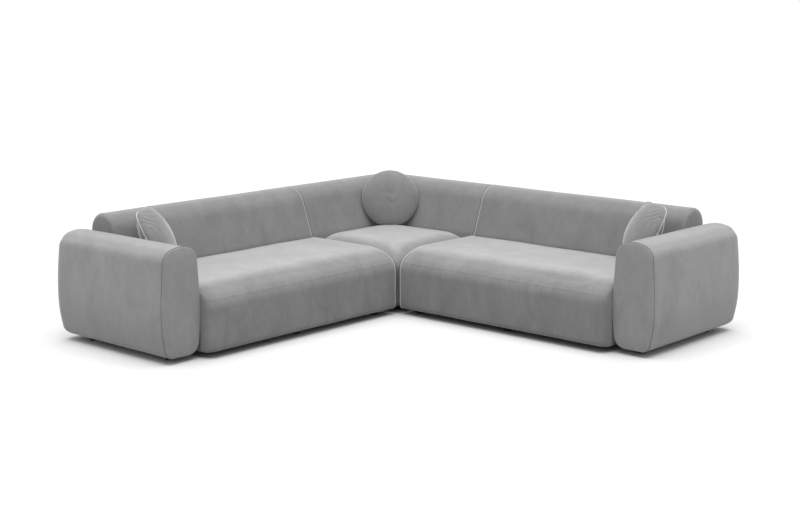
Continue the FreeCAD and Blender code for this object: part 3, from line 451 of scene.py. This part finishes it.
def back_section(bm, start, front, top, bottom):
    """The closed side outline of a back, from its bottom rear forward, up, over and down."""
    first = bm.verts.new((start, rear_hem, bottom))
    vertex = run_on(bm, first, front - sewn_edge, bottom, 6)
    vertex = turn_on(bm, vertex, front - sewn_edge, bottom + sewn_edge, 90, 3)
    vertex = run_on(bm, vertex, front, seat_edge, 6)
    crest = (back_rear_radius, top - crest_radius)
    edge = (crest[0] + crest_radius * math.cos(lean), crest[1] + crest_radius * math.sin(lean))
    vertex = run_on(bm, vertex, *edge, 10)
    vertex = turn_on(bm, vertex, *crest, 90 - math.degrees(lean), 10)
    vertex = turn_on(bm, vertex, back_rear_radius, top - back_rear_radius, 90, 10)
    vertex = run_on(bm, vertex, 0, bottom + rear_hem, 18)
    last = turn_on(bm, vertex, rear_hem, bottom + rear_hem, 90, 3)
    bmesh.ops.remove_doubles(bm, verts=[first, last], dist=0.0005)
    return bm.edges[:]


back_near, back_far, _, back_front, back_bottom = wing_box("right_back_cover")
back_far += 0.012
back_bottom += clear_of_cloth
back_top = 0.740
end_round = 0.026
end_line = 0.006
end_seam = back_far - end_round - end_line / 2
plain_rows = 48
plain_row = (back_far - end_round - end_line - back_near - sewn_edge) / plain_rows
near_cap = quarter(sewn_edge, sewn_edge, 3) + [(0.05, 0.009), (0.12, 0.010)]
far_cap = quarter(end_round, end_round, 5) + [(0.06, end_round + 0.003), (0.12, end_round + 0.004)]
bm = bmesh.new()
near_ring = back_section(bm, back_near + sewn_edge, back_front, back_top, back_bottom)
far_ring = draw_out(bm, near_ring, [plain_row] * plain_rows + [end_line / 2] * 2)
close_end(bm, near_ring, (-1, 0, 0), near_cap)
close_end(bm, far_ring, (1, 0, 0), far_cap)
end_seam_deep = 0.0022
end_seam_foot = back_bottom + 0.05
crease(bm, lambda co: abs(co.x - end_seam) < on_row and co.z > end_seam_foot, end_seam_deep)
front_part = 0.20
front_swell = 0.006
swell_run = 0.25
swell_height = 0.30
for vertex in bm.verts:
    along, depth, height = vertex.co
    if depth > front_part and height > seat_edge:
        full = rise(along - back_near, swell_run) * rise(back_far - along, swell_run)
        vertex.co.y += front_swell * full * math.sin(math.pi * held((height - seat_edge) / swell_height))
soften(bm, size=0.30, reach=0.0020)
both_wings(bm, "back", back_velvet, ["back_cover", "back_foam"])
bm.free()


# Corner back. One L-shaped unit with the wings' profile, whose two legs meet in a soft turn.
# Half of it is drawn along one wing and the other half along the other, about the diagonal.

turn_part = 0.16
rear_turn = 0.012
front_turn = 0.060
leg_end = 1.076 - sewn_edge
corner_rear = 0.318


def corner_path(reach, depth, radius, inward):
    """Turn a drawn-out section about the sofa's diagonal: from the far end of one leg to the other's."""
    far = abs(reach)
    centre = depth + radius * inward
    if far < turn_part:
        angle = math.radians(45) * (1 - far / turn_part)
        place = (centre - inward * radius * math.sin(angle), centre - inward * radius * math.cos(angle))
    else:
        share = (far - turn_part) / (1 - turn_part)
        end = leg_end if inward > 0 else corner_rear
        place = (centre + share * (end - centre), depth)
    return place if reach > 0 else place[::-1]


def turn_corner(bm, radius_at, inward):
    """Bend a section drawn out from -1 to 1 round the corner."""
    for vertex in bm.verts:
        reach, depth, _ = vertex.co
        vertex.co.x, vertex.co.y = corner_path(reach, depth, radius_at(depth), inward)


def halves(steps_straight, steps_turn):
    """Stretches from -1 to 1 that are finer round the turn."""
    straight = [(1 - turn_part) / steps_straight] * steps_straight
    return straight + [2 * turn_part / steps_turn] * steps_turn + straight


leg_cap = quarter(sewn_edge, sewn_edge, 3) + [(0.05, 0.008), (0.12, 0.009)]
bm = bmesh.new()
first_ring = back_section(bm, -1, back_front, back_top, back_bottom)
last_ring = draw_out(bm, first_ring, halves(18, 14))
turn_corner(bm, lambda depth: rear_turn + (front_turn - rear_turn) * depth / back_front, 1)
close_end(bm, first_ring, (0, 1, 0), leg_cap)
close_end(bm, last_ring, (1, 0, 0), leg_cap)
soften(bm, size=0.30, reach=0.0020)
make_piece(bm, "corner_back", to_right, back_velvet, "corner_module",
           ["corner_back_cover", "corner_back_foam"])
bm.free()


# Corner seat. The same rolled edge on its two free sides, mitred round the free corner by
# nested turns, and a soft crown in the middle. Its other two sides butt against the back.

corner_front = 1.062
corner_crown = 0.018
corner_round = 0.065
bm = bmesh.new()
draw_out(bm, seat_section(bm, -1, corner_rear, corner_front, seat_bottom), halves(20, 14))
turn_corner(bm, lambda depth: min(corner_round, max(0, depth - corner_rear)), -1)
bmesh.ops.remove_doubles(bm, verts=bm.verts[:], dist=0.0004)
rims = [edge for edge in bm.edges if edge.is_boundary]
flat_sides = [[edge for edge in rims if all(abs(end.co[axis] - corner_rear) < 0.001 for end in edge.verts)]
              for axis in (0, 1)]
for side_edges in flat_sides:
    bmesh.ops.edgeloop_fill(bm, edges=side_edges)
for vertex in bm.verts:
    swell = 1
    for reach in vertex.co.xy:
        swell *= rise(reach - corner_rear, crown_rear_run) * rise(corner_front - reach, crown_front_run)
    vertex.co.z += corner_crown * swell * crowned(vertex.co.z)
soften(bm, size=0.26, reach=0.0020)
make_piece(bm, "corner_seat", to_right, seat_velvet, "corner_module",
           ["corner_seat_cover", "corner_seat_foam"])
bm.free()


# Arms. Plywood boxes padded with foam to a barrel shape, in a velvet cover with a flat front
# panel. The panel is sewn in with a fine welt all the way round.

_, arm_far, arm_rear, arm_front, arm_bottom = wing_box("right_arm_cover")
arm_outline = ((0.026, arm_bottom, 0.048), (-0.002, 0.20, 0.6), (0.000, 0.37, 1.2), (0.020, 0.636, 0.080),
               (0.140, 0.662, 0.16), (0.256, 0.636, 0.085), (0.273, 0.37, 1.2), (0.274, 0.22, 0.6),
               (0.252, arm_bottom, 0.072))


def rounded_outline(bm, corners, depth):
    """A closed outline at a depth. A corner is its way in from the outer face, its height and its radius."""
    points = [Vector((arm_far - across, depth, height)) for across, height, _ in corners]
    verts = [bm.verts.new(point) for point in points]
    bm.faces.new(verts)
    for index, (_, _, radius) in enumerate(corners):
        before = (points[index] - points[index - 1]).normalized()
        after = (points[(index + 1) % len(points)] - points[index]).normalized()
        turn = before.angle(after)
        bmesh.ops.bevel(bm, geom=[verts[index]], offset=radius * math.tan(turn / 2), offset_type="OFFSET",
                        affect="VERTICES", segments=max(2, round(math.degrees(turn) / 9)), profile=0.5,
                        material=-1)
    face = bm.faces[:][0]
    edges = list(face.edges)
    bmesh.ops.delete(bm, geom=[face], context="FACES_ONLY")
    return edges


def even_out(bm, ring, longest=0.03):
    """Divide the long edges of an outline, so that it can be softened evenly."""
    for edge in ring:
        cuts = math.ceil(edge.calc_length() / longest) - 1
        if cuts > 0:
            bmesh.ops.subdivide_edges(bm, edges=[edge], cuts=cuts)
    return bm.edges[:]


# A paler copy of the sofa's velvet, a painted sheen for the arms' brighter faces; its level tops also get
# 1.06 times the colour as painted sheen.
arm_velvet_painted_sheen = velvet("arm_velvet_painted_sheen", 0.338, 0.14, 1.06)
rear_round_in = 0.036
rear_round_out = 0.060
rear_start = arm_rear + rear_round_out
welt_back = 0.010
welt_deep = 0.0030
welt_depth = arm_front - welt_back
plain_rows = 30
plain_row = (welt_depth - stitch - rear_start) / plain_rows
rear_cap = quarter(rear_round_in, rear_round_out, 7) + [(0.08, 0.064), (0.12, 0.065)]
panel = quarter(0.004, welt_back - stitch, 3) + [(0.02, 0.011), (0.06, 0.017), (0.11, 0.020)]
bm = bmesh.new()
rear_ring = even_out(bm, rounded_outline(bm, arm_outline, rear_start))
front_ring = draw_out(bm, rear_ring, [plain_row] * plain_rows + [stitch] * 2, (0, 1, 0))
close_end(bm, rear_ring, (0, -1, 0), rear_cap)
close_end(bm, front_ring, (0, 1, 0), panel)
crease(bm, lambda co: abs(co.y - welt_depth) < on_row, welt_deep)
outer_part = 0.03
outer_swell = 0.013
outer_run = 0.30
outer_height = 0.66
for vertex in bm.verts:
    along, depth, height = vertex.co
    if along > arm_far - outer_part:
        bowed = math.sin(math.pi * held(height / outer_height)) ** 0.7
        vertex.co.x += outer_swell * rise(arm_front - depth, outer_run) * bowed
soften(bm, size=0.28, reach=0.0022)
both_wings(bm, "arm", arm_velvet_painted_sheen, ["arm_cover", "arm_foam"])
bm.free()


# Welts. Thin velvet-covered cords sewn into the edges: up the inner end of each wing seat, over
# the inner end of each wing back, and round the front panel of each arm.

# Painted highlight: the seat and back welts take a much paler velvet, standing in for the light along the
# cords.
welt_velvet_painted_highlight = velvet("welt_velvet_painted_highlight", 0.68, 0.04)
# Painted shade: the arm welts take a darker velvet, standing in for the shadow line along the panel seam.
arm_welt_painted_shade = velvet("arm_welt_painted_shade", 0.20, 0.04)
welt_radius = 0.0021
end_shift = (0.0035, 0, 0)
panel_shift = (0, 0.0005, 0)


def welt(word, section, shift, node_word, finish, shut, keep=lambda co: True):
    """A cord round a closed section, or along the part of it to keep, on both wings."""
    wire = bmesh.new()
    section(wire)
    here = wire.verts[:][0]
    edge = here.link_edges[0]
    path = []
    while here not in path[:1]:
        path.append(here)
        here = edge.other_vert(here)
        edge = [other for other in here.link_edges if other != edge][0]
    route = [vertex.co + Vector(shift) for vertex in path if keep(vertex.co)]
    wire.free()
    for side, place in (("right", to_right), ("left", to_left)):
        curve = bpy.data.curves.new(side + "_" + word, "CURVE")
        curve.dimensions = "3D"
        line = curve.splines.new("POLY")
        line.points.add(len(route) - 1)
        for point, spot in zip(line.points, route):
            point.co = (place @ spot).to_4d()
        line.use_cyclic_u = shut
        curve.bevel_depth = welt_radius
        curve.bevel_resolution = 3
        curve.use_fill_caps = True
        curve.materials.append(finish)
        cord = bpy.data.objects.new(side + "_" + word, curve)
        scene.collection.objects.link(cord)
        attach(cord, side + "_module")
        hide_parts(side + "_" + node_word)


above_hem = 0.0005
welt("seat_welt", lambda wire: seat_section(wire, near_end, seat_rear, seat_front, seat_bottom),
     end_shift, "seat_piping", welt_velvet_painted_highlight, False,
     lambda co: co.z > seat_bottom + above_hem and co.y > seat_rear + 0.004)
welt("back_welt", lambda wire: back_section(wire, back_near, back_front, back_top, back_bottom),
     end_shift, "back_piping", welt_velvet_painted_highlight, False, lambda co: co.z > back_bottom + above_hem)
welt("arm_welt", lambda wire: even_out(wire, rounded_outline(wire, arm_outline, welt_depth)),
     panel_shift, "arm_piping", arm_welt_painted_shade, True)


# Square cushions. Two squares of velvet sewn together with a fine piping round a plump fibre
# filling, so that folds fan out from the corners. Each leans in the angle between a wing's back
# and its arm.

cushion_velvet = velvet("cushion_velvet", 0.262, 0.14)
sewn_gap = 0.005


def crown(share):
    """Height of a filled face, from 1 at its middle to 0 at its seam."""
    return max(0, 1 - share ** 2.4) ** 0.68


def sew_shut(bm, on_rim):
    """Give a face its twin behind, joined by a narrow piped rim."""
    bmesh.ops.solidify(bm, geom=bm.faces[:], thickness=sewn_gap)
    bmesh.ops.translate(bm, verts=bm.verts[:], vec=(0, 0, sewn_gap / 2))
    for face in bm.faces:
        heights = [vertex.co.z for vertex in face.verts]
        if max(heights) - min(heights) > sewn_gap / 2 and on_rim(face.calc_center_median()):
            face.material_index = 1


def in_order(bm):
    """A case as a mesh whose points and faces stand in order of place, so that each run settles it alike."""
    points = sorted(tuple(vertex.co) for vertex in bm.verts)
    index_of = {point: index for index, point in enumerate(points)}
    rows = []
    for face in bm.faces:
        loop = [index_of[tuple(vertex.co)] for vertex in face.verts]
        start = loop.index(min(loop))
        rows.append((loop[start:] + loop[:start], face.material_index))
    rows.sort()
    mesh = bpy.data.meshes.new("case")
    mesh.from_pydata(points, [], [loop for loop, _ in rows])
    mesh.polygons.foreach_set("material_index", [finish for _, finish in rows])
    return mesh


def fill_up(bm, pressure, frames):
    mesh = in_order(bm)
    case = bpy.data.objects.new("case", mesh)
    scene.collection.objects.link(case)
    cloth = case.modifiers.new("cloth", "CLOTH")
    cloth.settings.quality = 6
    cloth.settings.mass = 0.25
    cloth.settings.tension_stiffness = 18
    cloth.settings.compression_stiffness = 18
    cloth.settings.shear_stiffness = 6
    cloth.settings.bending_stiffness = 0.35
    cloth.settings.use_pressure = True
    cloth.settings.uniform_pressure_force = pressure
    cloth.settings.effector_weights.gravity = 0
    cloth.point_cache.frame_end = frames
    for step in range(1, frames + 1):
        scene.frame_set(step)
    blown = bpy.data.meshes.new_from_object(case.evaluated_get(bpy.context.evaluated_depsgraph_get()))
    bm.clear()
    bm.from_mesh(blown)
    bpy.data.objects.remove(case)
    for leftover in (mesh, blown):
        bpy.data.meshes.remove(leftover)
    scene.frame_set(1)


def fit_to(bm, wide, thick):
    """Bring a filled cushion to its measured width and thickness."""
    reach = max(abs(vertex.co[axis]) for vertex in bm.verts for axis in (0, 1))
    height = max(abs(vertex.co.z) for vertex in bm.verts)
    bmesh.ops.scale(bm, verts=bm.verts[:], vec=(wide / 2 / reach, wide / 2 / reach, thick / 2 / height))


def stand_up(bm, cover, lean_back, turn, spot, rest_height):
    """Stand a flat cushion on its edge where its CAD cover stands, and flatten its foot."""
    tilt = Matrix.Rotation(math.radians(90 - lean_back), 3, "X")
    bmesh.ops.rotate(bm, verts=bm.verts[:], matrix=Matrix.Rotation(math.radians(turn), 3, "Z") @ tilt)
    low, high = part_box(cover)
    middle = (cad_low.x + spot[0], cad_high.y - spot[1], (low.z + high.z) / 2)
    bmesh.ops.translate(bm, verts=bm.verts[:], vec=middle)
    for vertex in bm.verts:
        vertex.co.z = max(vertex.co.z, rest_height)


cushion_side = 0.384
cushion_thick = 0.156
cushion_lean = 25
cushion_turn = -35.5
cushion_spot = (2.473, 0.413)
cushion_rest = 0.4305
side_draw = 0.004
corner_power = 5
roundest_from = 0.4
case_cells = 56
half_side = cushion_side / 2
bm = bmesh.new()
bmesh.ops.create_grid(bm, x_segments=case_cells, y_segments=case_cells, size=half_side)
sew_shut(bm, lambda co: max(abs(co.x), abs(co.y)) > half_side * 0.99)
for vertex in bm.verts:
    flat = Vector((vertex.co.x, vertex.co.y))
    share = max(abs(flat.x), abs(flat.y)) / half_side
    height = crown(share)
    if share > 0:
        round_place = flat.normalized() * share * half_side
        rounding = min(1, height / roundest_from)
        between = 1 - (min(abs(flat.x), abs(flat.y)) / (share * half_side)) ** 2
        drawn = 1 - side_draw / half_side * between * (1 - rounding)
        reach = (abs(flat.x) ** corner_power + abs(flat.y) ** corner_power) ** (1 / corner_power)
        flat = (flat * drawn * share * half_side / reach).lerp(round_place, rounding)
    vertex.co.x, vertex.co.y = flat
    vertex.co.z = math.copysign(sewn_gap / 2 + (cushion_thick - sewn_gap) / 2 * height, vertex.co.z)
fill_up(bm, pressure=2.0, frames=12)
fit_to(bm, cushion_side, cushion_thick)
fan_folds = 24
fan_deep = 0.0090
fan_most = 0.45
fan_reach = 0.125
fan_start = 0.03
fan_wobble = 2.2
wobble_size = 0.05
for vertex in bm.verts:
    co = vertex.co
    corner = Vector((math.copysign(half_side, co.x), math.copysign(half_side, co.y)))
    away = corner - co.xy
    far = away.length
    if far > 0.001:
        angle = math.atan2(away.y * math.copysign(1, corner.y), away.x * math.copysign(1, corner.x))
        wobble = fan_wobble * noise.noise(co / wobble_size)
        fold = 0.5 + 0.5 * math.cos(fan_folds * angle + wobble)
        fade = min(1, far / fan_start) * math.exp(-(far / fan_reach) ** 2)
        co.z -= math.copysign(min(fan_deep, abs(co.z) * fan_most) * fold * fade, co.z)
soften(bm, size=0.09, reach=0.0022)
stand_up(bm, "right_cushion_cover", cushion_lean, cushion_turn, cushion_spot, cushion_rest)
mirrored = Matrix(((0, -1, 0, 0), (-1, 0, 0, 0), (0, 0, 1, 0), (0, 0, 0, 1)))
# The piped rims take the welts' pale velvet, a painted highlight.
for side, place in (("right", Matrix.Identity(4)), ("left", mirrored)):
    make_piece(bm, side + "_cushion_case", place, cushion_velvet, side + "_cushion",
               [side + "_cushion_cover", side + "_cushion_fill"], welt_velvet_painted_highlight)
bm.free()


# Round cushion. Two discs of velvet drawn in to a piped rim, so that short puckers run in from
# it, standing on a flattened foot in the corner.

round_wide = 0.392
round_thick = 0.120
round_lean = 14
round_turn = 45
round_spot = (0.400, 0.400)
round_rest = 0.437
round_radius = round_wide / 2
hub_radius = 0.012
rings = 22
bm = bmesh.new()
spoke = bm.verts.new((hub_radius, 0, 0))
for _ in range(rings):
    spoke = bmesh.ops.extrude_vert_indiv(bm, verts=[spoke])["verts"][0]
    spoke.co.x += (round_radius - hub_radius) / rings
bmesh.ops.spin(bm, geom=bm.edges[:] + bm.verts[:], cent=(0, 0, 0), axis=(0, 0, 1), angle=math.tau,
               steps=144, use_merge=True, use_duplicate=False)
bmesh.ops.remove_doubles(bm, verts=bm.verts[:], dist=0.00005)
hub = [edge for edge in bm.edges if edge.is_boundary and edge.verts[0].co.length < 0.02]
bmesh.ops.edgeloop_fill(bm, edges=hub)
bmesh.ops.recalc_face_normals(bm, faces=bm.faces[:])
sew_shut(bm, lambda co: co.xy.length > round_radius * 0.98)
for vertex in bm.verts:
    share = vertex.co.xy.length / round_radius
    filled = (round_thick - sewn_gap) / 2 * crown(share)
    vertex.co.z = math.copysign(sewn_gap / 2 + filled, vertex.co.z)
fill_up(bm, pressure=1.5, frames=10)
fit_to(bm, round_wide, round_thick)
pucker_count = 58
pucker_deep = 0.0026
pucker_start = 0.006
pucker_reach = 0.024
for vertex in bm.verts:
    co = vertex.co
    inward = round_radius - co.xy.length
    angle = math.atan2(co.y, co.x)
    uneven = noise.noise(Vector((math.cos(angle), math.sin(angle), 0)) * 9)
    fold = math.cos(pucker_count * angle + 3 * uneven) * (0.7 + uneven)
    fade = min(1, max(0, inward) / pucker_start) * math.exp(-(inward / pucker_reach) ** 2)
    co.z -= math.copysign(pucker_deep * fold * fade, co.z)
soften(bm, size=0.09, reach=0.0016)
stand_up(bm, "round_cushion_cover", round_lean, round_turn, round_spot, round_rest)
# The piped rim takes the welts' pale velvet, a painted highlight.
make_piece(bm, "round_cushion_case", Matrix.Identity(4), cushion_velvet, "round_cushion",
           ["round_cushion_cover", "round_cushion_fill"], welt_velvet_painted_highlight)
bm.free()


# Frames. Sawn pine rails, blocks and ladders, glued and bolted, under all of the padding, and
# the plywood boxes inside the arms.

def grained(name, pale, dark, grain, rough, metal=0.0, bump=0.0004):
    """A finish with two tones in a stretched grain. Grain is how often it repeats along each axis."""
    material = bpy.data.materials.new(name)
    material.use_nodes = True
    tree = material.node_tree
    skin = tree.nodes["Principled BSDF"]
    place = node(tree, "ShaderNodeTexCoord")
    stretch = node(tree, "ShaderNodeMapping", Scale=grain)
    streaks = node(tree, "ShaderNodeTexNoise", Scale=1.0, Detail=6.0, Roughness=0.6, Distortion=1.2)
    tones = node(tree, "ShaderNodeValToRGB")
    low, high = tones.color_ramp.elements
    low.position = 0.32
    high.position = 0.70
    low.color = (*dark, 1)
    high.color = (*pale, 1)
    relief = node(tree, "ShaderNodeBump", Strength=0.5, Distance=bump)
    tree.links.new(place.outputs["Object"], stretch.inputs["Vector"])
    tree.links.new(stretch.outputs[0], streaks.inputs["Vector"])
    tree.links.new(streaks.outputs["Fac"], tones.inputs["Fac"])
    tree.links.new(tones.outputs["Color"], skin.inputs["Base Color"])
    tree.links.new(streaks.outputs["Fac"], relief.inputs["Height"])
    tree.links.new(relief.outputs[0], skin.inputs["Normal"])
    skin.inputs["Roughness"].default_value = rough
    skin.inputs["Metallic"].default_value = metal
    return material


def dress(material, *names):
    """Give CAD nodes a finish of their own."""
    for name in names:
        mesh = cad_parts[name].data
        mesh.materials.clear()
        mesh.materials.append(material)


def on_each(word, corner=True):
    """A node's name on both wings and, where it has one, on the corner module."""
    return ["right_" + word, "left_" + word] + (["corner_" + word] if corner else [])


pine = grained("sawn_pine", (0.60, 0.43, 0.25), (0.46, 0.30, 0.15), (16, 16, 90), 0.72)
dress(pine, *on_each("base_frame"), *on_each("back_frame"))
birch = grained("birch_plywood", (0.66, 0.52, 0.34), (0.50, 0.36, 0.20), (12, 30, 150), 0.6)
dress(birch, *on_each("arm_frame", False))


# Springs, bands and steel. Zigzag springs of oiled wire, woven bands behind the backs, zinc
# plated screws and bolts, and pressed hooks and catches painted black.

wire_finish = grained("oiled_wire", (0.16, 0.15, 0.14), (0.07, 0.065, 0.06), (90, 90, 90), 0.38, 1.0)
dress(wire_finish, *on_each("seat_springs"))
zinc = grained("zinc_plate", (0.66, 0.67, 0.68), (0.50, 0.51, 0.53), (240, 240, 240), 0.34, 1.0, 0.0001)
dress(zinc, *on_each("screws"), *on_each("frame_bolts"))
paint = grained("black_paint", (0.035, 0.035, 0.036), (0.022, 0.022, 0.023), (160, 160, 160), 0.5)
dress(paint, *on_each("module_hooks", False), "corner_module_catches")


def woven(name, tone, threads, rough):
    """A plain weave of crossed threads, so many to a metre."""
    material = bpy.data.materials.new(name)
    material.use_nodes = True
    tree = material.node_tree
    skin = tree.nodes["Principled BSDF"]
    place = node(tree, "ShaderNodeTexCoord")
    crossed = node(tree, "ShaderNodeMath", {"operation": "MULTIPLY"})
    tones = node(tree, "ShaderNodeValToRGB")
    low, high = tones.color_ramp.elements
    low.color = (*[channel * 0.6 for channel in tone], 1)
    high.color = (*tone, 1)
    relief = node(tree, "ShaderNodeBump", Strength=0.6, Distance=0.0005)
    for socket, direction in enumerate("XZ"):
        wave = node(tree, "ShaderNodeTexWave", {"bands_direction": direction},
                    Scale=threads, Distortion=1.0, Detail=1.0)
        tree.links.new(place.outputs["Object"], wave.inputs["Vector"])
        tree.links.new(wave.outputs["Fac"], crossed.inputs[socket])
    tree.links.new(crossed.outputs[0], tones.inputs["Fac"])
    tree.links.new(tones.outputs["Color"], skin.inputs["Base Color"])
    tree.links.new(crossed.outputs[0], relief.inputs["Height"])
    tree.links.new(relief.outputs[0], skin.inputs["Normal"])
    skin.inputs["Roughness"].default_value = rough
    return material


dress(woven("elastic_webbing", (0.34, 0.26, 0.17), 160, 0.85), *on_each("back_webbing"))


# Underside and feet. Black lining cloth is stapled under each module, and low turned feet of
# black plastic are screwed through it.

dress(woven("black_lining", (0.014, 0.014, 0.015), 220, 0.9), *on_each("underside_cloth"))
plastic = grained("black_plastic", (0.020, 0.020, 0.021), (0.012, 0.012, 0.012), (300, 300, 300), 0.55, 0.0,
                  0.0001)
dress(plastic, *on_each("feet"))
